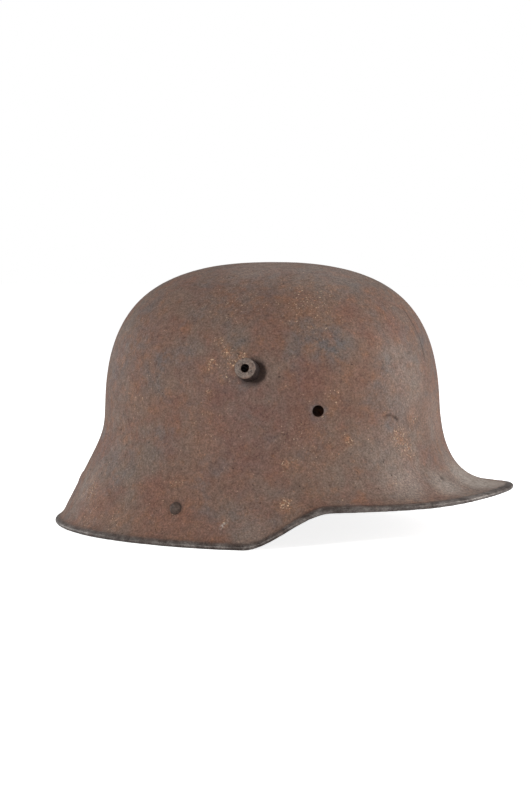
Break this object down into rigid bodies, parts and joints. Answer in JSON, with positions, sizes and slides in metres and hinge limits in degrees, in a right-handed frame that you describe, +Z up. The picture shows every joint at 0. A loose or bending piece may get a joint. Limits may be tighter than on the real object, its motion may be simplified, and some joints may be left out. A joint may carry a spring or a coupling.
{
  "type": "steel combat helmet",
  "caption": "Pressed steel combat helmet with a rounded dome, short stepped visor, flared ear and neck guard, rolled rim, hollow vent lugs at the temples and chin-strap rivets.",
  "frame": {"origin": "on the surface the rim stands on, under the middle of the helmet's length and width", "axes": "+X to the front (the visor), +Y to the wearer's left, +Z up"},
  "size_m": [0.3117, 0.242, 0.1753],
  "materials": {
    "rusted_steel": "matt, rusted brown with worn grey steel along the rim",
    "lug_steel": "dull pitted grey steel, lightly rusted",
    "rivet_steel": "dull grey steel with rust round the head"
  },
  "bodies": {
    "root": {"shell": "rusted_steel", "vent_lug_right": "lug_steel", "vent_lug_left": "lug_steel", "strap_rivet_right": "rivet_steel", "strap_rivet_left": "rivet_steel"}
  },
  "joints": []
}
